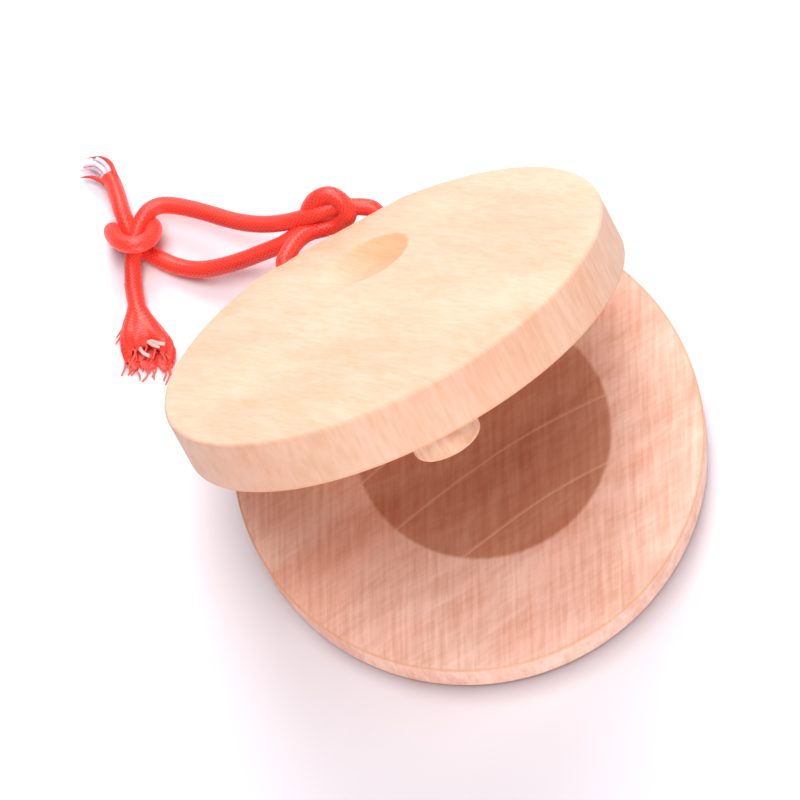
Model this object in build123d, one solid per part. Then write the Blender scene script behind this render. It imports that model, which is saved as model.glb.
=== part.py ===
from build123d import *
import math
import os

os.makedirs("parts", exist_ok=True)

# Finger castanets: two equal turned wooden shells, laced back to back with one
# elastic cord that springs them open. A glued button in the upper shell strikes
# the flat lip of the lower one. Millimetres, +Z up, the lower shell lies flat on
# z = 0 with its centre on the Z axis. The hinge is at +Y and the mouth at -Y.

# ---- driving dimensions ----
SHELL_D = 56.0            # shell diameter
SHELL_T = 7.1             # shell thickness at its centre
CROWN_FLAT_D = 36.0       # flat middle of the outer face, which the part rests on
CROWN_DROP = 0.55         # fall of the outer face from the flat to its rounded edge
OUTER_EDGE_R = 0.6        # rounded outer edge
INNER_EDGE_R = 0.25       # eased striking edge
DISH_D = 31.2             # shallow round dish in the inner face
DISH_DEPTH = 2.4
DISH_X = -2.0             # the dish sits off centre, on the same side as the button
DIMPLE_D = 11.2           # finger dimple in the outer face
DIMPLE_DEPTH = 0.85
DIMPLE_X = 1.6            # it was cut a little off the middle
DIMPLE_Y = 12.4

OPEN_DEG = 48.0           # opening between the inner faces at rest
HINGE_Y = 22.6            # hinge edge, where the inner face turns into its bevel
SHELL_GAP = 0.12          # gap between the two hinge bevels
FACET_Y = 25.3            # where the outer face turns down into the back facet
FACET_DEG = 52.0          # slope of the back facet below the outer face
SLACK_X = -1.65           # the slack lacing lets the upper shell sit this far sideways
SLACK_Y = 0.5             # and this far back

BUTTON_D = 8.1            # striking button
BUTTON_H = 3.3
BUTTON_X = -1.9           # glued in a little off the middle
BUTTON_Y = -22.6
BUTTON_EDGE_R = 0.9
TENON_D = 4.0             # round tenon that glues the button into its shell
TENON_L = 3.0

CORD_D = 2.1              # braided elastic cord
CORE_D = 1.5              # its rubber core
CHANNEL_D = 2.5           # drilled and grooved way for the cord
STITCH_BEND_R = 1.8       # bend of the cord where it turns along the groove
HOLE_X = 6.35             # half the spacing of the two cord holes

EDGE = SHELL_D / 2
HALF_OPEN = OPEN_DEG / 2

# ---- where the shells sit; a shell's own frame has its inner face on z = 0 ----
LOWER_PLACE = Pos(0, 0, SHELL_T) * Rot(0, 180, 0)
UPPER_PLACE = (
    Pos(SLACK_X, HINGE_Y + SLACK_Y, SHELL_T + SHELL_GAP / 2)
    * Rot(-OPEN_DEG, 0, 0)
    * Pos(0, -HINGE_Y, SHELL_GAP / 2)
)

# ---- cord lacing, in the shell's own frame: in at the bevel, out in the facet groove ----
HOLE_BOTTOM = (25.15, 1.9)        # y, z of the hole's axis near the bevel
GROOVE = (26.2, 5.65)             # y, z of the groove's axis, just under the facet
LACING_BEND = (26.5, 6.6)         # y, z where a lacing strand turns towards the knot
LACING_END = (1.9, 28.5, 7.5)     # its end inside the hinge knot, x from the knot's middle
KNOT_X = 1.35                     # the hinge knot's middle, right of the shell's own middle

# ---- free cord: its two ends leave the hinge knot, form the finger loop and meet in
# ---- the end knot, which rests on the table with two short tails
KNOT_AT = (-0.3, 33.0, 7.8)
KNOT_HALF_X, KNOT_HALF_YZ = 3.0, 2.8
END_KNOT_AT = (-21.2, 45.0, 2.75)
END_KNOT_HALF_X, END_KNOT_HALF_YZ = 3.3, 2.7

LOOP_BACK = [
    (-2.3, 34.8, 8.1), (-5.3, 35.7, 7.2), (-8.9, 38.2, 5.8), (-12.0, 41.9, 4.2),
    (-14.9, 45.6, 2.9), (-17.6, 47.3, 2.8), (-19.5, 46.3, 3.1),
]
LOOP_FRONT = [
    (-2.8, 33.5, 6.3), (-6.0, 33.7, 5.5), (-10.0, 34.7, 4.1), (-14.2, 36.2, 2.4),
    (-17.9, 38.4, 1.4), (-20.0, 41.4, 1.2), (-20.6, 43.8, 1.9),
]
CUT_TAIL = [(-21.2, 46.9, 3.1), (-20.9, 49.0, 2.5), (-20.6, 51.6, 1.6), (-20.3, 54.0, 1.1)]
CORE_STUB = [(-20.3, 54.0, 1.1), (-20.8, 55.4, 1.1), (-21.8, 56.5, 1.0)]
FRAYED_TAIL = [(-22.3, 44.4, 1.7), (-23.2, 42.6, 1.15), (-24.1, 40.4, 1.1), (-24.9, 38.2, 1.1)]

# frayed end: distance along its axis, half width and half height of each section
FRAY_SECTIONS = [(0.0, 1.05, 1.05), (2.6, 1.9, 1.15), (6.3, 3.1, 1.3), (9.6, 2.1, 0.9)]
FRAY_END = (-27.9, 29.1, 1.4)


def bend_radii(points):
    """Largest comfortable radius for each corner of a route."""
    radii = []
    for before, corner, after in zip(points, points[1:], points[2:]):
        inward = Vector(*corner) - Vector(*before)
        outward = Vector(*after) - Vector(*corner)
        half_turn = math.radians(inward.get_angle(outward)) / 2
        radii.append(0.45 * min(inward.length, outward.length) / math.tan(half_turn))
    return radii


def tube(points, diameter, name=None, radii=None):
    """Round tube along straight runs joined by tangent arcs."""
    radii = radii or bend_radii(points)
    path = FilletPolyline(*points, radius=radii)
    solid = sweep(Plane(origin=path @ 0, z_dir=path % 0) * Circle(diameter / 2), path=path)
    if name:
        expected = math.pi * diameter**2 / 4 * path.length
        print(f"{name}: length {path.length:.1f}, volume {solid.volume / expected:.3f} of expected,",
              "radii", [round(r, 1) for r in radii])
    return solid


def ellipsoid(centre, half_x, half_yz):
    """Rounded body, a half ellipse spun about the X direction."""
    half = Rectangle(2 * half_x, half_yz, align=(Align.CENTER, Align.MIN))
    return Pos(*centre) * revolve(Ellipse(half_x, half_yz) & half, axis=Axis.X)


def spherical_cut(diameter, depth):
    """Ball that cuts a dish of the given size below z = 0."""
    radius = (diameter**2 / 4 + depth**2) / (2 * depth)
    return Pos(0, 0, radius - depth) * Sphere(radius)


def shell_profile():
    """Half section of a shell: flat inner face, crowned outer face, rounded edge."""
    flat = CROWN_FLAT_D / 2
    crown_r = ((EDGE - flat) ** 2 + CROWN_DROP**2) / (2 * CROWN_DROP)
    with BuildSketch(Plane.XZ) as section:
        with BuildLine():
            Line((0, 0), (EDGE, 0))
            Line((EDGE, 0), (EDGE, SHELL_T - CROWN_DROP))
            crown_mid = (flat + EDGE) / 2
            sag = crown_r - math.sqrt(crown_r**2 - (crown_mid - flat) ** 2)
            ThreePointArc((EDGE, SHELL_T - CROWN_DROP), (crown_mid, SHELL_T - sag), (flat, SHELL_T))
            Line((flat, SHELL_T), (0, SHELL_T))
            Line((0, SHELL_T), (0, 0))
        make_face()
        corners = section.vertices().filter_by(lambda v: v.X > EDGE - 0.01).sort_by(Axis.Z)
        fillet(corners[1], OUTER_EDGE_R)
        fillet(section.vertices().filter_by(lambda v: v.X > EDGE - 0.01 and v.Z < 0.01), INNER_EDGE_R)
    return section.sketch


def hinge_cuts():
    """Two wedges that take off the inner bevel and the outer back facet."""
    block = SHELL_D
    bevel = Pos(0, HINGE_Y, 0) * Rot(HALF_OPEN, 0, 0) * Box(
        block, block, block, align=(Align.CENTER, Align.MIN, Align.MAX))
    facet = Pos(0, FACET_Y, SHELL_T) * Rot(-FACET_DEG, 0, 0) * Box(
        block, block, block, align=(Align.CENTER, Align.MIN, Align.MIN))
    return bevel + facet


def stitch_route():
    """Down one hole, across the facet groove and back up the other hole."""
    y_low, z_low = HOLE_BOTTOM
    y_groove, z_groove = GROOVE
    return [(-HOLE_X, y_low, z_low), (-HOLE_X, y_groove, z_groove),
            (HOLE_X, y_groove, z_groove), (HOLE_X, y_low, z_low)]


def lacing_route(side):
    """Out of one hole and over to the hinge knot; side is -1 or +1."""
    x_end, y_end, z_end = LACING_END
    return [(side * HOLE_X, *HOLE_BOTTOM), (side * HOLE_X, *LACING_BEND),
            (KNOT_X + side * x_end, y_end, z_end)]


def channel_cut():
    """Cord channel, run on through the bevel so that both holes are open."""
    y_low, z_low = HOLE_BOTTOM
    y_groove, z_groove = GROOVE
    past = 2.0 / (z_groove - z_low)
    y_past = y_low - past * (y_groove - y_low)
    z_past = z_low - past * (z_groove - z_low)
    route = stitch_route()
    route[0] = (-HOLE_X, y_past, z_past)
    route[-1] = (HOLE_X, y_past, z_past)
    return tube(route, CHANNEL_D, radii=[STITCH_BEND_R] * 2)


def shell():
    """One shell in its own frame, without a button."""
    body = revolve(shell_profile(), axis=Axis.Z)
    body -= Pos(DISH_X, 0, 0) * Rot(180, 0, 0) * spherical_cut(DISH_D, DISH_DEPTH)
    body -= Pos(DIMPLE_X, DIMPLE_Y, SHELL_T) * spherical_cut(DIMPLE_D, DIMPLE_DEPTH)
    body -= hinge_cuts()
    body -= channel_cut()
    return body


def button():
    """Striking button with its tenon, in the shell's own frame."""
    head = Pos(0, 0, -BUTTON_H) * Cylinder(
        BUTTON_D / 2, BUTTON_H, align=(Align.CENTER, Align.CENTER, Align.MIN))
    head = fillet(head.edges().filter_by(GeomType.CIRCLE).sort_by(Axis.Z)[0], BUTTON_EDGE_R)
    tenon = Cylinder(TENON_D / 2, TENON_L, align=(Align.CENTER, Align.CENTER, Align.MIN))
    return Pos(BUTTON_X, BUTTON_Y, 0) * (head + tenon)


def upper_shell_own():
    """The upper shell adds the button's socket and the two eased hole mouths."""
    body = shell()
    body -= Pos(BUTTON_X, BUTTON_Y, 0) * Cylinder(
        TENON_D / 2, TENON_L, align=(Align.CENTER, Align.CENTER, Align.MIN))
    for side in (-1, 1):
        body -= tube(lacing_route(side), CHANNEL_D)
    return body


def frayed_end():
    """Flattened flare of loose threads at the end of the long tail."""
    start = Vector(*FRAYED_TAIL[-1])
    along = Vector(*FRAY_END) - start
    across = Vector(0, 0, 1).cross(along)
    faces = []
    for distance, half_width, half_height in FRAY_SECTIONS:
        centre = start + along * (distance / FRAY_SECTIONS[-1][0])
        faces.append(Plane(origin=centre, x_dir=across, z_dir=along) * Ellipse(half_width, half_height))
    return loft(faces, ruled=True)


# ---- wooden pieces ----
parts = {
    "lower_shell": LOWER_PLACE * shell(),
    "upper_shell": UPPER_PLACE * upper_shell_own(),
    "striker_button": UPPER_PLACE * button(),
}

# ---- fixed lacing ----
parts["hinge_stitch"] = LOWER_PLACE * tube(
    stitch_route(), CORD_D, "hinge_stitch", radii=[STITCH_BEND_R] * 2)
parts["lacing_left"] = UPPER_PLACE * tube(lacing_route(-1), CORD_D, "lacing_left")
parts["lacing_right"] = UPPER_PLACE * tube(lacing_route(1), CORD_D, "lacing_right")
parts["hinge_knot"] = ellipsoid(KNOT_AT, KNOT_HALF_X, KNOT_HALF_YZ)

# ---- free cord ----
parts["loop_back"] = tube(LOOP_BACK, CORD_D, "loop_back")
parts["loop_front"] = tube(LOOP_FRONT, CORD_D, "loop_front")
parts["end_knot"] = ellipsoid(END_KNOT_AT, END_KNOT_HALF_X, END_KNOT_HALF_YZ)
parts["cut_tail"] = tube(CUT_TAIL, CORD_D, "cut_tail")
parts["rubber_core"] = tube(CORE_STUB, CORE_D, "rubber_core")
parts["frayed_tail"] = tube(FRAYED_TAIL, CORD_D, "frayed_tail")
parts["frayed_end"] = frayed_end()

for name, solid in parts.items():
    export_step(solid, f"parts/{name}.step")
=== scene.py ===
import math

import bpy
from mathutils import Matrix, Quaternion, Vector


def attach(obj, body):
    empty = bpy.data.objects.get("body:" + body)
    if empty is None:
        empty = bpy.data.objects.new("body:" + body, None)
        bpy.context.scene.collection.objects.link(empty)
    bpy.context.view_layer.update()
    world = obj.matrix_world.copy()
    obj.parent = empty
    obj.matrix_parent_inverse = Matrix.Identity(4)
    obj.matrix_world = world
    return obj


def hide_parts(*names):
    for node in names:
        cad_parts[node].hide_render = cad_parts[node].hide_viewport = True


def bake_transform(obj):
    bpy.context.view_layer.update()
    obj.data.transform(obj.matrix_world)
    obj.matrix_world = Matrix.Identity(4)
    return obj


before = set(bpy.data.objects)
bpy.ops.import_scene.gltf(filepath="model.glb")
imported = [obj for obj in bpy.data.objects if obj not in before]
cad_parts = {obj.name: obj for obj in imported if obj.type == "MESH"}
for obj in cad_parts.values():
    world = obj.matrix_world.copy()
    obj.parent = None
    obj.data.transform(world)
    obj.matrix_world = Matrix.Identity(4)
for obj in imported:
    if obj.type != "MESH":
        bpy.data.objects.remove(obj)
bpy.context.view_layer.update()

bpy.ops.object.select_all(action="DESELECT")

# ---------------------------------------------------------------- turned shells
# Two equal discs of pale beech, faced and edge-rounded on a lathe. A ball cutter leaves
# the shallow dish in the striking face and the finger dimple in the back, a belt sander
# takes off the hinge bevel and the back facet, and a small drill opens the cord way.
MM = 0.001
LATHE_STEPS = 192
SHELL_R, SHELL_T = 28.0, 7.1
INNER_EDGE_R, OUTER_EDGE_R = 0.25, 0.6
CROWN_FLAT_R, CROWN_DROP, CROWN_STEPS = 18.0, 0.55, 10
DISH_R, DISH_DEPTH, DISH_X = 15.6, 2.4, -2.0
DIMPLE_R, DIMPLE_DEPTH, DIMPLE_X, DIMPLE_Y = 5.6, 0.85, 1.6, 12.4
HINGE_Y, SHELL_GAP, OPEN_ANGLE = 22.6, 0.12, 48.0
SLACK_X, SLACK_Y = -1.65, 0.5
FACET_Y, FACET_ANGLE = 25.3, 52.0
HOLE_X, HOLE_R, EASE_R = 6.35, 1.25, 1.19
KNOT_X = 1.35


def turned(name, stations):
    """A body turned on a lathe from (radius, height) stations in mm, first face to last."""
    radius, height = stations[0]
    bpy.ops.mesh.primitive_circle_add(vertices=LATHE_STEPS, radius=radius * MM,
                                      fill_type="NGON", location=(0, 0, height * MM))
    piece = bpy.context.active_object
    piece.name = name
    bpy.ops.object.mode_set(mode="EDIT")
    bpy.ops.mesh.select_all(action="SELECT")
    for (radius, height), (next_radius, next_height) in zip(stations, stations[1:]):
        bpy.ops.mesh.extrude_region_move(
            TRANSFORM_OT_translate={"value": (0, 0, (next_height - height) * MM)})
        grow = next_radius / radius
        bpy.ops.transform.resize(value=(grow, grow, 1), center_override=(0, 0, next_height * MM))
    bpy.ops.mesh.select_all(action="SELECT")
    bpy.ops.mesh.normals_make_consistent(inside=False)
    bpy.ops.object.mode_set(mode="OBJECT")
    settle(piece)
    return piece


def settle(piece):
    """Puts a piece's place into its mesh, so that its object sits at the origin."""
    bpy.ops.object.select_all(action="DESELECT")
    piece.select_set(True)
    bpy.context.view_layer.objects.active = piece
    bpy.ops.object.transform_apply(location=True, rotation=True, scale=True)


def arc(centre, radius, start, end, steps):
    """Stations along a rounded edge, from one angle in degrees to another."""
    turns = [math.radians(start + (end - start) * i / steps) for i in range(steps + 1)]
    return [(centre[0] + radius * math.cos(t), centre[1] + radius * math.sin(t)) for t in turns]


def ball_stations(rim_radius, depth, past):
    """Stations of a ball cutter that leaves a dish of that rim and depth."""
    ball = (rim_radius ** 2 + depth ** 2) / (2 * depth)
    reach = rim_radius + past
    radii = [0.4 + (reach - 0.4) * i / 22 for i in range(23)]
    return [(r, depth - ball + math.sqrt(ball ** 2 - r ** 2)) for r in radii]


def cut_away(piece, cutter):
    """Takes the cutter's shape out of a piece, and puts the cutter away."""
    cut = piece.modifiers.new("cut", "BOOLEAN")
    cut.operation = "DIFFERENCE"
    cut.solver = "EXACT"
    cut.object = cutter
    bpy.ops.object.select_all(action="DESELECT")
    bpy.context.view_layer.objects.active = piece
    bpy.ops.object.modifier_apply(modifier=cut.name)
    bpy.data.objects.remove(cutter)


def centreline(route):
    """Points along the smooth curve through a route in mm, as a cord or a drill runs."""
    curve = bpy.data.curves.new("route", "CURVE")
    curve.dimensions = "3D"
    curve.resolution_u = 14
    spline = curve.splines.new("NURBS")
    spline.points.add(len(route) - 1)
    for point, place in zip(spline.points, route):
        point.co = (place[0] * MM, place[1] * MM, place[2] * MM, 1)
    spline.order_u = 3
    spline.use_endpoint_u = True
    rule = bpy.data.objects.new("route", curve)
    bpy.context.scene.collection.objects.link(rule)
    mesh = bpy.data.meshes.new_from_object(rule)
    points = [vertex.co.copy() for vertex in mesh.vertices]
    bpy.data.objects.remove(rule)
    bpy.data.meshes.remove(mesh)
    return points


def section_frames(line):
    """Centre, two cross directions and the length so far at each point of a centreline."""
    frames = []
    ahead = (line[1] - line[0]).normalized()
    side = ahead.orthogonal().normalized()
    run = 0.0
    for i, point in enumerate(line):
        before, after = line[max(i - 1, 0)], line[min(i + 1, len(line) - 1)]
        heading = (after - before).normalized()
        side = ahead.rotation_difference(heading) @ side
        side = (side - heading * side.dot(heading)).normalized()
        ahead = heading
        run += (point - line[i - 1]).length if i else 0.0
        frames.append((point, side, heading.cross(side), run))
    return frames


def tube(name, line, radius, sides=24):
    """Closed round tube along a centreline. Its UV map holds the turn and the run, in turns."""
    frames = section_frames(line)
    widths = [radius(run / MM) if callable(radius) else radius for *_, run in frames]
    places = [centre + (across * math.cos(2 * math.pi * k / sides)
                        + up * math.sin(2 * math.pi * k / sides)) * width * MM
              for (centre, across, up, _), width in zip(frames, widths) for k in range(sides)]
    faces = [tuple(range(sides))[::-1], tuple(len(places) - sides + k for k in range(sides))]
    for i in range(len(frames) - 1):
        for k in range(sides):
            a, b = i * sides + k, i * sides + (k + 1) % sides
            faces.append((a, b, b + sides, a + sides))
    mesh = bpy.data.meshes.new(name)
    mesh.from_pydata(places, [], faces)
    lay_of_sheath = mesh.uv_layers.new(name="sheath")
    girth = 2 * math.pi * max(widths) * MM
    for polygon in mesh.polygons:
        wraps = len(polygon.vertices) == 4 and polygon.vertices[1] % sides == 0
        for corner, vertex in zip(polygon.loop_indices, polygon.vertices):
            turn = (vertex % sides) / sides
            if wraps and vertex % sides == 0:
                turn = 1.0
            lay_of_sheath.data[corner].uv = (turn, frames[vertex // sides][3] / girth)
    piece = bpy.data.objects.new(name, mesh)
    bpy.context.scene.collection.objects.link(piece)
    mesh.shade_smooth()
    return piece


def smooth_turning(piece, crease=30.0):
    """Smooth shading that keeps flat faces flat and the sharp edges crisp."""
    bpy.ops.object.select_all(action="DESELECT")
    piece.select_set(True)
    bpy.context.view_layer.objects.active = piece
    bpy.ops.object.shade_smooth_by_angle(angle=math.radians(crease))
    weighted = piece.modifiers.new("weighted", "WEIGHTED_NORMAL")
    weighted.keep_sharp = True
    bpy.ops.object.modifier_apply(modifier=weighted.name)


crown_ball = ((SHELL_R - CROWN_FLAT_R) ** 2 + CROWN_DROP ** 2) / (2 * CROWN_DROP)
edge_x = SHELL_R - OUTER_EDGE_R
edge_slope = math.degrees(math.asin((edge_x - CROWN_FLAT_R) / (crown_ball - OUTER_EDGE_R)))
edge_z = SHELL_T - crown_ball + (crown_ball - OUTER_EDGE_R) * math.cos(math.radians(edge_slope))
shell_stations = arc((SHELL_R - INNER_EDGE_R, INNER_EDGE_R), INNER_EDGE_R, -90, 0, 4)
shell_stations += [(SHELL_R, z) for z in (1.5, 3.0, 4.5)]
shell_stations += arc((edge_x, edge_z), OUTER_EDGE_R, 0, 90 - edge_slope, 8)
crown_x = shell_stations[-1][0]
for step in range(1, CROWN_STEPS + 1):
    crown_r = CROWN_FLAT_R + (crown_x - CROWN_FLAT_R) * (CROWN_STEPS - step) / CROWN_STEPS
    shell_stations.append((crown_r, SHELL_T - crown_ball
                           + math.sqrt(crown_ball ** 2 - (crown_r - CROWN_FLAT_R) ** 2)))
blank = turned("shell_blank", shell_stations)

half_open = math.radians(OPEN_ANGLE / 2)
facet_tilt = math.radians(FACET_ANGLE)
hinge_planes = [
    ((0, HINGE_Y * MM, 0), (0, math.sin(half_open), -math.cos(half_open))),
    ((0, FACET_Y * MM, SHELL_T * MM), (0, math.sin(facet_tilt), math.cos(facet_tilt))),
]
for plane_co, plane_no in hinge_planes:
    bpy.ops.object.mode_set(mode="EDIT")
    bpy.ops.mesh.select_all(action="SELECT")
    bpy.ops.mesh.bisect(plane_co=plane_co, plane_no=plane_no, use_fill=True, clear_outer=True)
    bpy.ops.object.mode_set(mode="OBJECT")

dish = turned("dish_cutter", ball_stations(DISH_R, DISH_DEPTH, 1.6))
dish.location = (DISH_X * MM, 0, 0)
settle(dish)
cut_away(blank, dish)
dimple = turned("dimple_cutter", ball_stations(DIMPLE_R, DIMPLE_DEPTH, 0.6))
dimple.rotation_euler = (math.pi, 0, 0)
dimple.location = (DIMPLE_X * MM, DIMPLE_Y * MM, SHELL_T * MM)
settle(dimple)
cut_away(blank, dimple)

# the cord way: up one hole, across the facet in a groove and down the other hole
HALF_WAY = [(4.5, 26.2, 5.7), (HOLE_X, 26.2, 5.65), (HOLE_X, 25.7, 3.9), (HOLE_X, 25.15, 1.9),
            (HOLE_X, 24.6, -0.1)]
CORD_WAY = [(-x, y, z) for x, y, z in HALF_WAY[::-1]] + HALF_WAY
cut_away(blank, tube("way_drill", centreline(CORD_WAY), HOLE_R))

lower = blank
lower.name = "lower_shell_turned"
upper = lower.copy()
upper.data = lower.data.copy()
upper.name = "upper_shell_turned"
bpy.context.scene.collection.objects.link(upper)

lower.rotation_euler = (0, math.pi, 0)
lower.location = (0, 0, SHELL_T * MM)
settle(lower)
smooth_turning(lower)

# the upper shell's hole mouths are eased where the cord leaves them for the hinge knot
for side in (-1, 1):
    ease = [(side * 6.3, 26.0, 5.1), (side * 6.1, 26.7, 6.9), (KNOT_X + side * 1.9, 28.6, 7.7)]
    cut_away(upper, tube("mouth_drill", centreline(ease), EASE_R))
upper_lift = Matrix.Rotation(math.radians(-OPEN_ANGLE), 4, "X")
upper_seat = (SLACK_X * MM, (HINGE_Y + SLACK_Y) * MM, (SHELL_T + SHELL_GAP / 2) * MM)
upper_place = (Matrix.Translation(upper_seat) @ upper_lift
               @ Matrix.Translation((0, -HINGE_Y * MM, SHELL_GAP / 2 * MM)))
upper.matrix_world = upper_place
settle(upper)
smooth_turning(upper)


def linear(code):
    """An sRGB hex value as a linear colour."""
    shares = [int(code[i:i + 2], 16) / 255 for i in (1, 3, 5)]
    return [c / 12.92 if c <= 0.04045 else ((c + 0.055) / 1.055) ** 2.4 for c in shares] + [1]


def add(tree, kind, values=None, links=None, **settings):
    """Adds one node, with its settings, socket values and incoming links."""
    node = tree.nodes.new(kind)
    for key, value in settings.items():
        setattr(node, key, value)
    for socket, value in (values or {}).items():
        node.inputs[socket].default_value = value
    for socket, source in (links or {}).items():
        tree.links.new(source, node.inputs[socket])
    return node


def stops(ramp, *colours):
    """Sets a colour ramp's stops from (position, hex code) pairs."""
    elements = ramp.color_ramp.elements
    while len(elements) < len(colours):
        elements.new(0.5)
    for element, (position, code) in zip(elements, colours):
        element.position = position
        element.color = linear(code)


def beech(name, place, grain_turn, pale, deep, flush, streak_turn, streak_share, rings, dish):
    """Sanded and thinly oiled beech: growth bands about 3 mm wide, short ray flecks and
    fine sanding streaks, both 0.5 mm wide, and a thin darker line along the striking edge that is
    painted shade; the dish and the finger dimple carry painted shade too. The eye gets a warm,
    almost matt surface with a faint silky gleam."""
    finish = bpy.data.materials.new(name)
    finish.use_nodes = True
    tree = finish.node_tree
    shader = tree.nodes["Principled BSDF"]
    shader.inputs["Roughness"].default_value = 0.55
    shader.inputs["IOR"].default_value = 1.42
    spot = add(tree, "ShaderNodeTexCoord")
    own = add(tree, "ShaderNodeMapping", {"Location": place.to_translation(),
              "Rotation": place.to_euler(), "Scale": (MM, MM, MM)},
              {"Vector": spot.outputs["Object"]}, vector_type="TEXTURE")

    def grain(turn, lengths, detail, distortion):
        """A noise whose grains have those lengths in mm, turned about the shell's axis."""
        lay = add(tree, "ShaderNodeMapping", {"Rotation": (0, 0, math.radians(-turn))},
                  {"Vector": own.outputs[0]})
        drawn = add(tree, "ShaderNodeMapping", {"Scale": [1 / length for length in lengths]},
                    {"Vector": lay.outputs[0]})
        return add(tree, "ShaderNodeTexNoise", {"Scale": 1.0, "Detail": detail,
                   "Roughness": 0.6, "Distortion": distortion}, {"Vector": drawn.outputs[0]})

    bands = grain(grain_turn, (16.0, 3.2, 9.0), 3.0, 0.5)
    flecks = grain(grain_turn, (2.6, 0.5, 3.0), 3.0, 0.0)
    streaks = grain(streak_turn, (8.0, 0.62, 3.5), 3.0, 0.0)
    band_part = add(tree, "ShaderNodeMath", {1: 0.40}, {0: bands.outputs["Fac"]},
                    operation="MULTIPLY")
    fleck_part = add(tree, "ShaderNodeMath", {1: 0.60 - streak_share},
                     {0: flecks.outputs["Fac"], 2: band_part.outputs[0]},
                     operation="MULTIPLY_ADD")
    tone = add(tree, "ShaderNodeMath", {1: streak_share}, {0: streaks.outputs["Fac"],
               2: fleck_part.outputs[0]}, operation="MULTIPLY_ADD")
    colour = add(tree, "ShaderNodeValToRGB", links={"Fac": tone.outputs[0]})
    stops(colour, (0.40, pale), (0.62, deep))
    # the heartwood side is a little pinker, in patches some 20 mm across
    patches = grain(grain_turn, (30.0, 13.0, 20.0), 2.0, 0.3)
    patch = add(tree, "ShaderNodeMapRange", {"From Min": 0.45, "From Max": 0.62,
                "To Max": 0.7}, {"Value": patches.outputs["Fac"]})
    flushed = add(tree, "ShaderNodeMix", {7: linear(flush)}, {0: patch.outputs[0],
                  6: colour.outputs["Color"]}, data_type="RGBA", blend_type="MULTIPLY")
    # radius and height in the shell's own frame, for the dish's painted shade and growth lines
    # and for the striking edge's painted shade
    parts = add(tree, "ShaderNodeSeparateXYZ", links={"Vector": own.outputs[0]})
    # depth into the dish, up to the strength given as dish: it sets how dark the dish's painted
    # shade is and how strongly its growth lines show
    dished = add(tree, "ShaderNodeMapRange", {"From Min": 0.02, "From Max": 0.16,
                 "To Max": dish}, {"Value": parts.outputs["Z"]})
    reach = add(tree, "ShaderNodeVectorMath", {1: (1, 1, 0)}, {0: own.outputs[0]},
                operation="MULTIPLY")
    reach = add(tree, "ShaderNodeVectorMath", links={0: reach.outputs[0]}, operation="LENGTH")
    in_dish = add(tree, "ShaderNodeMath", {1: 18.0}, {0: reach.outputs["Value"]},
                  operation="LESS_THAN")
    in_dish = add(tree, "ShaderNodeMath", links={0: in_dish.outputs[0], 1: dished.outputs[0]},
                  operation="MULTIPLY")
    # thin pale growth lines about 5.6 mm apart, on slanting rings that curve in the dish
    ring_lay = add(tree, "ShaderNodeMapping", {"Rotation": (math.radians(40), 0,
                   math.radians(-grain_turn))}, {"Vector": own.outputs[0]})
    ring_wave = add(tree, "ShaderNodeTexWave", {"Scale": 0.314 / 5.6, "Distortion": 3.4,
                    "Detail": 1.0, "Detail Scale": 0.3, "Phase Offset": 2.6},
                    {"Vector": ring_lay.outputs[0]}, wave_type="BANDS", bands_direction="Y",
                    wave_profile="SAW")
    ring_line = add(tree, "ShaderNodeMapRange", {"From Min": 0.945, "From Max": 0.99,
                    "To Max": rings}, {"Value": ring_wave.outputs["Fac"]})
    ring_share = add(tree, "ShaderNodeMath", {1: 0.9, 2: 0.3}, {0: in_dish.outputs[0]},
                     operation="MULTIPLY_ADD")
    ring_line = add(tree, "ShaderNodeMath", links={0: ring_line.outputs[0],
                    1: ring_share.outputs[0]}, operation="MULTIPLY")
    # painted shade: the whole dish is multiplied by a darker tone, mostly for the shade the upper
    # shell casts into it, partly for the end grain the ball cutter opens
    dish_painted_shade = add(tree, "ShaderNodeMix", {7: linear("#C0926F")}, {0: in_dish.outputs[0],
                 6: flushed.outputs[2]}, data_type="RGBA", blend_type="MULTIPLY")
    ringed = add(tree, "ShaderNodeMix", {7: linear("#F0CAAE")}, {0: ring_line.outputs[0],
                 6: dish_painted_shade.outputs[2]}, data_type="RGBA")
    # painted shade: a thin darker orange line on the rounded edge of the striking face
    near_rim = add(tree, "ShaderNodeMapRange", {"From Min": 27.64, "From Max": 27.82},
                   {"Value": reach.outputs["Value"]})
    near_face = add(tree, "ShaderNodeMapRange", {"From Min": 0.42, "From Max": 0.14,
                    "To Max": 0.55}, {"Value": parts.outputs["Z"]})
    edge_painted_shade = add(tree, "ShaderNodeMath", links={0: near_rim.outputs[0],
                  1: near_face.outputs[0]}, operation="MULTIPLY")
    edge_shaded = add(tree, "ShaderNodeMix", {7: linear("#E2A472")}, {0: edge_painted_shade.outputs[0],
                6: ringed.outputs[2]}, data_type="RGBA")
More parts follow.
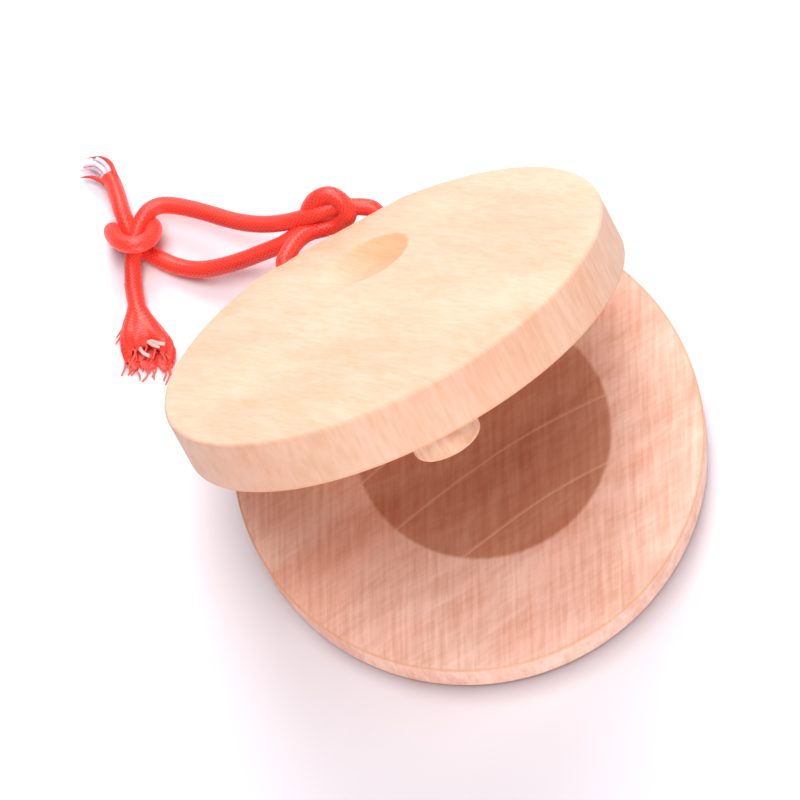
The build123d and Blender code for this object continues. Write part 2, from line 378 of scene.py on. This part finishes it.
    # painted shade in the finger dimple, darkest on its +x wall, which faces away from the light
    from_dimple = add(tree, "ShaderNodeVectorMath", {1: (DIMPLE_X, DIMPLE_Y, SHELL_T)},
                      {0: own.outputs[0]}, operation="DISTANCE")
    in_dimple = add(tree, "ShaderNodeMapRange", {"From Min": DIMPLE_R + 0.1,
                    "From Max": DIMPLE_R - 0.4}, {"Value": from_dimple.outputs["Value"]})
    toward_shaded_wall = add(tree, "ShaderNodeMapRange", {"From Min": -2.5, "From Max": 4.5,
                 "To Min": 0.1, "To Max": 1.0}, {"Value": parts.outputs["X"]})
    dimple_painted_shade = add(tree, "ShaderNodeMath", links={0: in_dimple.outputs[0], 1: toward_shaded_wall.outputs[0]},
                  operation="MULTIPLY")
    dimple_shaded = add(tree, "ShaderNodeMix", {7: linear("#FFE2C4")}, {0: dimple_painted_shade.outputs[0],
                  6: edge_shaded.outputs[2]}, data_type="RGBA", blend_type="MULTIPLY")
    tree.links.new(dimple_shaded.outputs[2], shader.inputs["Base Color"])
    # open pores, drawn 0.3 mm wide and 2 mm long so that they show
    pores = grain(grain_turn, (1.7, 0.3, 1.7), 2.0, 0.0)
    relief = add(tree, "ShaderNodeBump", {"Strength": 0.3, "Distance": 0.00003},
                 {"Height": pores.outputs["Fac"]})
    tree.links.new(relief.outputs[0], shader.inputs["Normal"])
    return finish


lower_place = (Matrix.Translation((0, 0, SHELL_T * MM)) @ Matrix.Rotation(math.pi, 4, "Y"))
lower_beech = beech("beech_sanded_lower", lower_place, 180 - 4, "#F7D3C1", "#E0AA92", "#FFEAE4",
                    180 - 62, 0.42, 0.5, 0.68)
upper_beech = beech("beech_sanded_upper", upper_place, -66, "#EDC5AD", "#E3B696", "#FFF0EC",
                    -66, 0.05, 0.0, 0.0)
for shell, wood, node, body in ((lower, lower_beech, "lower_shell", "lower"),
                                (upper, upper_beech, "upper_shell", "upper")):
    shell.data.materials.clear()
    shell.data.materials.append(wood)
    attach(shell, body)
    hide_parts(node)

# ---------------------------------------------------------------- striking button
# A small turned beech button, glued by its tenon into the upper shell's striking face.
# Its end grain face is rounded over, and it knocks on the lower shell's flat lip.
BUTTON_R, BUTTON_H, BUTTON_X, BUTTON_Y, BUTTON_EDGE_R = 4.05, 3.3, -1.9, -22.6, 0.9
button_stations = [(0.8, -BUTTON_H), (2.0, -BUTTON_H + 0.01)]
button_stations += arc((BUTTON_R - BUTTON_EDGE_R, -BUTTON_H + BUTTON_EDGE_R), BUTTON_EDGE_R,
                       -90, 0, 8)
button_stations += [(BUTTON_R, -1.2), (BUTTON_R, -0.18), (BUTTON_R - 0.1, -0.05),
                    (BUTTON_R - 0.1, 0.0)]
button = turned("striker_button_turned", button_stations)
button.matrix_world = upper_place @ Matrix.Translation((BUTTON_X * MM, BUTTON_Y * MM, 0))
settle(button)
smooth_turning(button)
button_beech = beech("beech_turned_button", upper_place, 30, "#F4CFB4", "#E4AE8A", "#FFF0EA",
                     90, 0.05, 0.0, 0.0)
button.data.materials.clear()
button.data.materials.append(button_beech)
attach(button, "upper")
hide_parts("striker_button")

# ---------------------------------------------------------------- elastic lacing
# One round elastic cord, 2.1 mm across: rubber threads in a braided red polyester sheath.
# It is stitched through the lower shell, rises through the hinge gap into the upper
# shell's two holes and comes out behind it, ready to be knotted.
CORD_R = 1.05
LACING = [
    (0.9, 33.4, 8.9), (2.2, 32.5, 8.7), (3.6, 31.7, 8.7), (4.6, 30.8, 8.6), (4.7, 28.8, 7.9),
    (4.8, 26.9, 6.9), (5.6, 25.8, 6.1), (6.35, 25.3, 5.2), (6.35, 25.7, 3.2),
    (6.35, 26.2, 1.45), (4.5, 26.2, 1.4), (-4.5, 26.2, 1.4), (-6.35, 26.2, 1.45),
    (-6.35, 25.7, 3.2), (-6.35, 25.3, 5.2), (-7.2, 25.8, 6.1), (-7.9, 26.9, 6.9),
    (-8.0, 28.8, 7.9), (-8.3, 30.4, 8.8), (-7.1, 31.2, 8.7), (-5.4, 32.4, 8.1),
    (-3.3, 32.9, 7.3), (-1.4, 32.3, 7.0),
]
lacing = tube("elastic_lacing", centreline(LACING), CORD_R)


def braid(name, painted_gleam, deep, carriers=12):
    """Polyester yarns braided over rubber, 12 carriers each way: diamonds about 0.5 mm
    across, with a painted highlight on each yarn and a painted shade line between two. The eye
    gets a smooth red cord with a fine regular weave."""
    finish = bpy.data.materials.new(name)
    finish.use_nodes = True
    tree = finish.node_tree
    shader = tree.nodes["Principled BSDF"]
    shader.inputs["Roughness"].default_value = 0.38
    shader.inputs["Sheen Weight"].default_value = 0.45
    shader.inputs["Sheen Roughness"].default_value = 0.5
    shader.inputs["Sheen Tint"].default_value = linear("#FF9C90")
    lay = add(tree, "ShaderNodeUVMap", uv_map="sheath")
    parts = add(tree, "ShaderNodeSeparateXYZ", links={"Vector": lay.outputs[0]})
    yarns = []
    for hand in (1, -1):
        turn = add(tree, "ShaderNodeMath", {1: hand}, {0: parts.outputs["X"],
                   2: parts.outputs["Y"]}, operation="MULTIPLY_ADD")
        count = add(tree, "ShaderNodeMath", {1: carriers}, {0: turn.outputs[0]},
                    operation="MULTIPLY")
        phase = add(tree, "ShaderNodeMath", {1: math.pi}, {0: count.outputs[0]},
                    operation="MULTIPLY")
        swing = add(tree, "ShaderNodeMath", links={0: phase.outputs[0]}, operation="SINE")
        yarn = add(tree, "ShaderNodeMath", links={0: swing.outputs[0]}, operation="ABSOLUTE")
        whole = add(tree, "ShaderNodeMath", links={0: count.outputs[0]}, operation="FLOOR")
        yarns.append((yarn, whole))
    over = add(tree, "ShaderNodeMath", links={0: yarns[0][1].outputs[0],
               1: yarns[1][1].outputs[0]}, operation="ADD")
    over = add(tree, "ShaderNodeMath", {1: 2.0}, {0: over.outputs[0]}, operation="FLOORED_MODULO")
    weave = add(tree, "ShaderNodeMix", links={"Factor": over.outputs[0]}, data_type="FLOAT")
    tree.links.new(yarns[0][0].outputs[0], weave.inputs[2])
    tree.links.new(yarns[1][0].outputs[0], weave.inputs[3])
    spot = add(tree, "ShaderNodeTexCoord")
    wear = add(tree, "ShaderNodeTexNoise", {"Scale": 1 / (3 * MM), "Detail": 3.0},
               {"Vector": spot.outputs["Object"]})
    worn = add(tree, "ShaderNodeMath", {1: 0.35}, {0: wear.outputs["Fac"]},
               operation="MULTIPLY")
    tone = add(tree, "ShaderNodeMath", {1: 0.55}, {0: weave.outputs[0], 2: worn.outputs[0]},
               operation="MULTIPLY_ADD")
    # painted highlight and shade: each yarn's crown is coloured lighter and the lines between
    # yarns darker, with random wear tone on top
    colour = add(tree, "ShaderNodeValToRGB", links={"Fac": tone.outputs[0]})
    stops(colour, (0.15, deep), (0.62, painted_gleam))
    tree.links.new(colour.outputs["Color"], shader.inputs["Base Color"])
    relief = add(tree, "ShaderNodeBump", {"Strength": 0.5, "Distance": 0.00004},
                 {"Height": weave.outputs[0]})
    tree.links.new(relief.outputs[0], shader.inputs["Normal"])
    return finish


red_braid = braid("polyester_braid_red", "#FF4636", "#D21811")
lacing.data.materials.append(red_braid)
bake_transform(lacing)
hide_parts("hinge_stitch", "lacing_left", "lacing_right")

# ---------------------------------------------------------------- back strand
# The right end of the cord runs straight through the hinge knot, arches out over the
# table as the back of the finger loop, drops through the end knot and ends in a long
# tail whose sheath has come undone.
BACK_STRAND = [
    (0.9, 33.4, 8.9), (-1.0, 33.7, 9.0), (-3.1, 34.4, 8.2), (-5.3, 35.4, 7.2),
    (-7.9, 37.0, 6.3), (-10.5, 39.5, 5.3), (-13.0, 42.9, 4.2), (-15.2, 45.5, 3.4),
    (-17.1, 47.1, 3.0), (-18.7, 47.2, 3.2), (-19.9, 46.6, 3.3), (-20.9, 45.9, 3.1),
    (-21.9, 45.0, 2.9), (-23.0, 43.8, 2.3), (-24.0, 42.3, 1.4), (-24.9, 40.5, 1.1),
    (-25.6, 38.5, 1.1), (-26.1, 36.8, 1.2),
]
back_line = centreline(BACK_STRAND)
back_strand = tube("elastic_back_strand", back_line, CORD_R)
back_strand.data.materials.append(red_braid)
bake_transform(back_strand)
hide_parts("loop_back", "frayed_tail")

# ---------------------------------------------------------------- front strand and knots
# The left end passes under the back strand, turns over it as the hinge knot and comes
# away as the front of the finger loop. At the far side it wraps the bundle once, tucks
# back through its own turn and ends in the short cut tail.
FRONT_STRAND = [
    (-3.3, 32.9, 7.3), (-1.4, 32.3, 7.0), (0.3, 31.9, 7.4), (1.5, 31.5, 8.7),
    (1.8, 32.5, 9.9), (1.0, 34.5, 10.4), (-0.6, 35.2, 10.0), (-1.9, 35.2, 8.8),
    (-3.0, 34.5, 7.6), (-4.6, 33.6, 6.8), (-6.6, 33.5, 6.2), (-9.0, 34.3, 5.1),
    (-11.9, 35.2, 3.9), (-14.7, 36.3, 2.8), (-17.0, 37.6, 1.9), (-18.6, 39.1, 1.3),
    (-19.9, 40.7, 1.1), (-21.0, 42.6, 1.1), (-22.2, 44.6, 1.1), (-23.1, 46.3, 1.1),
    (-23.5, 47.3, 1.5), (-23.9, 47.7, 2.4), (-24.1, 46.3, 3.8), (-23.8, 44.6, 4.7),
    (-22.8, 43.5, 5.2), (-21.6, 43.1, 5.0), (-20.3, 43.4, 4.2), (-19.3, 44.7, 3.0),
    (-19.4, 46.1, 1.9), (-20.2, 46.9, 1.2), (-21.3, 46.9, 1.1), (-22.1, 45.6, 1.7),
    (-22.1, 45.4, 2.8), (-21.9, 47.1, 3.4), (-21.7, 48.7, 3.5), (-21.4, 50.1, 3.1),
    (-21.1, 51.7, 2.5), (-20.9, 53.3, 1.8), (-20.9, 54.2, 1.55),
]
front_line = centreline(FRONT_STRAND)
front_strand = tube("elastic_front_strand", front_line, CORD_R)
front_strand.data.materials.append(red_braid)
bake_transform(front_strand)
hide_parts("hinge_knot", "loop_front", "end_knot", "cut_tail")

# ---------------------------------------------------------------- rubber core and cut sheath
# Where the short tail was cut the braid has slipped back. Seven pale rubber threads
# stick out and curl over, with two slivers of red sheath beside them.
CORE_LINE = [(-20.85, 53.9, 1.6), (-20.8, 54.9, 1.7), (-21.0, 56.1, 1.6), (-21.6, 56.9, 1.4),
             (-22.5, 57.3, 1.1)]


def rubber(name, low, high):
    """Natural rubber thread, calendered and powdered: milky, slightly lilac and waxy."""
    finish = bpy.data.materials.new(name)
    finish.use_nodes = True
    tree = finish.node_tree
    shader = tree.nodes["Principled BSDF"]
    shader.inputs["Roughness"].default_value = 0.5
    shader.inputs["Subsurface Weight"].default_value = 0.25
    shader.inputs["Subsurface Radius"].default_value = (0.5, 0.4, 0.4)
    shader.inputs["Subsurface Scale"].default_value = 0.0008
    spot = add(tree, "ShaderNodeTexCoord")
    dust = add(tree, "ShaderNodeTexNoise", {"Scale": 1 / (0.6 * MM), "Detail": 3.0},
               {"Vector": spot.outputs["Object"]})
    colour = add(tree, "ShaderNodeValToRGB", links={"Fac": dust.outputs["Fac"]})
    stops(colour, (0.35, low), (0.65, high))
    tree.links.new(colour.outputs["Color"], shader.inputs["Base Color"])
    relief = add(tree, "ShaderNodeBump", {"Strength": 0.3, "Distance": 0.00003},
                 {"Height": dust.outputs["Fac"]})
    tree.links.new(relief.outputs[0], shader.inputs["Normal"])
    return finish


def joined(name, pieces):
    """Several loose threads as one piece."""
    bpy.ops.object.select_all(action="DESELECT")
    for piece in pieces:
        piece.select_set(True)
    bpy.context.view_layer.objects.active = pieces[0]
    bpy.ops.object.join()
    pieces[0].name = name
    return pieces[0]


THREAD_R = 0.27
threads = []
for index in range(7):
    lean = 2 * math.pi * index / 6
    spread = 0.0 if index == 6 else 0.5
    out = Vector((math.cos(lean) * spread, 0, math.sin(lean) * spread))
    route = [(x + out.x * (1 + 0.25 * k), y + out.x * 0.3 * k * 0.4,
              max(z + out.z * (1 + 0.12 * k), THREAD_R)) for k, (x, y, z) in enumerate(CORE_LINE)]
    if index in (1, 4):
        route = route[:-1]
    threads.append(tube("rubber_thread", centreline(route), THREAD_R, sides=10))
core = joined("rubber_core_threads", threads)
core.data.materials.clear()
core.data.materials.append(rubber("rubber_thread_natural", "#F3D9EA", "#F9ECF6"))
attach(core, "lower")
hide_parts("rubber_core")

SLIVERS = [
    [(-20.3, 52.9, 2.2), (-20.1, 54.1, 2.5), (-19.9, 55.5, 2.4), (-20.4, 56.7, 2.1),
     (-21.4, 57.5, 1.7), (-22.3, 58.0, 1.3)],
    [(-21.6, 53.3, 1.9), (-22.0, 54.2, 1.8), (-22.5, 55.1, 1.6), (-23.3, 55.9, 1.2),
     (-24.0, 56.3, 0.9)],
]


def taper(full, length):
    """A radius that thins towards the far end of that length in mm."""
    return lambda run: full * max(0.12, 1 - (run / length) ** 2)


slivers = joined("sheath_slivers", [
    tube("sliver", centreline(SLIVERS[0]), taper(0.3, 6.6), sides=10),
    tube("sliver", centreline(SLIVERS[1]), taper(0.33, 4.4), sides=10)])
slivers.data.materials.append(red_braid)
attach(slivers, "lower")

# ---------------------------------------------------------------- frayed end
# The long tail's sheath has opened: the braid flares into a flat, creased sleeve with a
# ragged mouth, and loose yarns and stubs of rubber thread hang out of it.
FLARE_LINE = [(-24.9, 40.6, 1.1), (-25.5, 38.8, 1.1), (-26.1, 36.8, 1.2), (-26.7, 34.7, 1.35),
              (-27.0, 32.9, 1.4), (-27.4, 31.6, 1.25), (-27.9, 30.5, 0.95)]
FLARE_HALF = [(-0.3, 1.08, 1.07), (2.8, 1.12, 1.1), (3.8, 1.5, 1.15), (5.6, 2.4, 1.3),
              (7.4, 3.15, 1.35), (8.6, 3.3, 1.2), (9.8, 3.0, 1.0), (11.5, 2.2, 0.7)]
FLARE_SIDES, FLARE_OPENS, FLARE_REACH, FLARE_GIRTH = 56, 3.0, 8.0, 6.6


def between(table, run, column):
    """A value read from a table of (run, ...) rows, straight between two rows."""
    for row, after in zip(table, table[1:]):
        if run <= after[0]:
            share = (run - row[0]) / (after[0] - row[0])
            return row[column] + (after[column] - row[column]) * max(share, 0.0)
    return table[-1][column]


flare_frames = section_frames(centreline(FLARE_LINE))
flare_places = []
across = Vector((0.86, -0.5, 0.0)).normalized()
forward = Vector((-0.3, -0.95, 0.0)).normalized()
for centre, _, _, run in flare_frames:
    run_mm = run / MM
    half_wide, half_high = between(FLARE_HALF, run_mm, 1), between(FLARE_HALF, run_mm, 2)
    open_share = max(0.0, (run_mm - FLARE_OPENS) / FLARE_REACH)
    for k in range(FLARE_SIDES):
        turn = 2 * math.pi * k / FLARE_SIDES
        crease = 1 + open_share * (0.10 * math.sin(5 * turn + 0.4 * run_mm)
                                   + 0.06 * math.sin(11 * turn - 0.7 * run_mm))
        lips = 0.5 * max(-math.sin(turn), 0.0) - 2.3 * max(math.sin(turn), 0.0)
        ragged = open_share ** 2 * MM * (lips + 0.4 * math.sin(7 * turn + 1.3)
                                         + 0.3 * math.sin(17 * turn))
        place = (centre + across * math.cos(turn) * half_wide * crease * MM
                 + Vector((0, 0, 1)) * math.sin(turn) * half_high * crease * MM
                 + forward * ragged)
        place.z = max(place.z, 0.12 * MM)
        flare_places.append(place)
flare_faces = []
for i in range(len(flare_frames) - 1):
    for k in range(FLARE_SIDES):
        a, b = i * FLARE_SIDES + k, i * FLARE_SIDES + (k + 1) % FLARE_SIDES
        flare_faces.append((a, b, b + FLARE_SIDES, a + FLARE_SIDES))
flare_mesh = bpy.data.meshes.new("frayed_sleeve")
flare_mesh.from_pydata(flare_places, [], flare_faces)
flare_lay = flare_mesh.uv_layers.new(name="sheath")
for polygon in flare_mesh.polygons:
    wraps = polygon.vertices[1] % FLARE_SIDES == 0
    for corner, vertex in zip(polygon.loop_indices, polygon.vertices):
        turn = (vertex % FLARE_SIDES) / FLARE_SIDES
        if wraps and vertex % FLARE_SIDES == 0:
            turn = 1.0
        run = flare_frames[vertex // FLARE_SIDES][3]
        flare_lay.data[corner].uv = (turn, run / (FLARE_GIRTH * MM))
flare = bpy.data.objects.new("frayed_sleeve", flare_mesh)
bpy.context.scene.collection.objects.link(flare)
flare_mesh.shade_smooth()
bpy.ops.object.select_all(action="DESELECT")
bpy.context.view_layer.objects.active = flare
wall = flare.modifiers.new("wall", "SOLIDIFY")
wall.thickness = 0.22 * MM
wall.offset = -1
bpy.ops.object.modifier_apply(modifier=wall.name)
flare.data.materials.append(red_braid)
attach(flare, "lower")
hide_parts("frayed_end")

# loose yarns of the undone braid hang from the mouth and from one side of the sleeve
YARN_R, YARN_SAG = 0.12, 0.35
mouth = flare_places[-FLARE_SIDES:]
side_line = flare_places[-44 * FLARE_SIDES + FLARE_SIDES // 2::FLARE_SIDES][:16:4]
yarns = []
for k, root in enumerate(mouth + side_line):
    reach = (0.9 + 0.6 * math.sin(2.3 * k) + 0.4 * math.sin(7.1 * k)) * MM
    if k % 2 and k < FLARE_SIDES or reach < 0.4 * MM:
        continue
    heading = Matrix.Rotation(0.55 * math.sin(1.7 * k), 3, "Z") @ forward
    if k >= FLARE_SIDES:
        heading = (forward - across * 0.9).normalized()
        reach = 0.8 * MM
    bend = across * 0.5 * reach * math.sin(3.1 * k)
    trail = [root - heading * 0.3 * MM, root + heading * 0.4 * reach + Vector((0, 0, 0.1 * MM)),
             root + heading * 0.8 * reach + bend * 0.5, root + heading * reach * 1.2 + bend]
    sagging = [(v.x / MM, v.y / MM, max(v.z / MM - YARN_SAG * n, YARN_R + 0.01))
               for n, v in enumerate(trail)]
    yarns.append(tube("yarn", centreline(sagging), taper(YARN_R, 4.5), sides=6))
loose = joined("loose_yarns", yarns)
loose.data.materials.append(braid("polyester_yarn_loose", "#FF7466", "#F04438", carriers=3))
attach(loose, "lower")

# three stubs of rubber thread, stained by the dye, poke out of the mouth
STUBS = [
    [(-26.6, 33.2, 1.6), (-26.2, 32.3, 2.3), (-25.7, 31.7, 2.5), (-25.2, 31.4, 2.2)],
    [(-26.9, 33.4, 1.6), (-26.7, 32.3, 2.2), (-26.3, 31.8, 2.3), (-25.9, 31.5, 2.0)],
    [(-27.9, 33.2, 1.5), (-28.1, 32.3, 2.0), (-27.9, 31.6, 2.1), (-27.5, 31.2, 1.8)],
]
stubs = joined("rubber_stubs", [tube("stub", centreline(route), THREAD_R * 0.8, sides=10)
                                for route in STUBS])
stubs.data.materials.append(rubber("rubber_thread_stained", "#F3AFA8", "#F8CFC9"))
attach(stubs, "lower")

# ---------------------------------------------------------------- table, light and camera
# A seamless white table between four softboxes: one overhead, one behind the hinge, a low
# one in front that lights the rims, and a weak one at the right.
bpy.ops.mesh.primitive_plane_add(size=6.0, location=(0, 0, 0))
table = bpy.context.active_object
table.name = "table"
table_white = bpy.data.materials.new("table_white_matt")
table_white.use_nodes = True
table_shader = table_white.node_tree.nodes["Principled BSDF"]
table_shader.inputs["Base Color"].default_value = linear("#F2F2FA")
table_shader.inputs["Roughness"].default_value = 0.9
table.data.materials.append(table_white)

# the surround looks white behind the object but gives only a dim, cool fill
surround = bpy.data.worlds.new("surround")
surround.use_nodes = True
air = surround.node_tree
fill = air.nodes["Background"]
fill.inputs["Color"].default_value = linear("#E8E2FF")
fill.inputs["Strength"].default_value = 0.08
backdrop = add(air, "ShaderNodeBackground", {"Color": linear("#FCFBFF"), "Strength": 1.0})
seen = add(air, "ShaderNodeLightPath")
sky = add(air, "ShaderNodeMixShader", links={0: seen.outputs["Is Camera Ray"],
          1: fill.outputs[0], 2: backdrop.outputs[0]})
air.links.new(sky.outputs[0], air.nodes["World Output"].inputs["Surface"])
bpy.context.scene.world = surround


def softbox(name, place, aim, size, power, tint):
    """A square softbox that faces a point."""
    bpy.ops.object.light_add(type="AREA", location=place)
    box = bpy.context.active_object
    box.name = name
    box.data.size = size
    box.data.energy = power
    box.data.color = linear(tint)[:3]
    box.rotation_euler = (Vector(aim) - Vector(place)).to_track_quat("-Z", "Y").to_euler()


softbox("overhead_softbox", (0.0, 0.10, 0.85), (0, 0, 0.01), 0.50, 6.0, "#FFF9F6")
softbox("back_softbox", (0.25, 0.60, 0.55), (0, 0, 0.01), 0.45, 6.0, "#FFF9F6")
softbox("front_softbox", (-0.20, -0.75, 0.12), (0, 0, 0.01), 0.22, 3.9, "#FFF6F4")
softbox("side_softbox", (0.75, -0.10, 0.32), (0, 0, 0.01), 0.40, 0.9, "#FFF6F4")

VIEW_FROM = Vector((-0.03266, -0.18795, 0.57660))
VIEW_ALONG = Vector((0.04696, 0.32602, -0.94420))
VIEW_ROLL = -21.76
bpy.ops.object.camera_add(location=VIEW_FROM)
camera = bpy.context.active_object
camera.name = "camera"
camera.data.lens = 229.1
camera.data.sensor_width = 36.0
camera.data.clip_start = 0.01
aim = VIEW_ALONG.to_track_quat("-Z", "Y")
camera.rotation_euler = (aim @ Quaternion((0, 0, 1), math.radians(VIEW_ROLL))).to_euler()
bpy.context.scene.camera = camera
bpy.context.scene.view_settings.view_transform = "Standard"
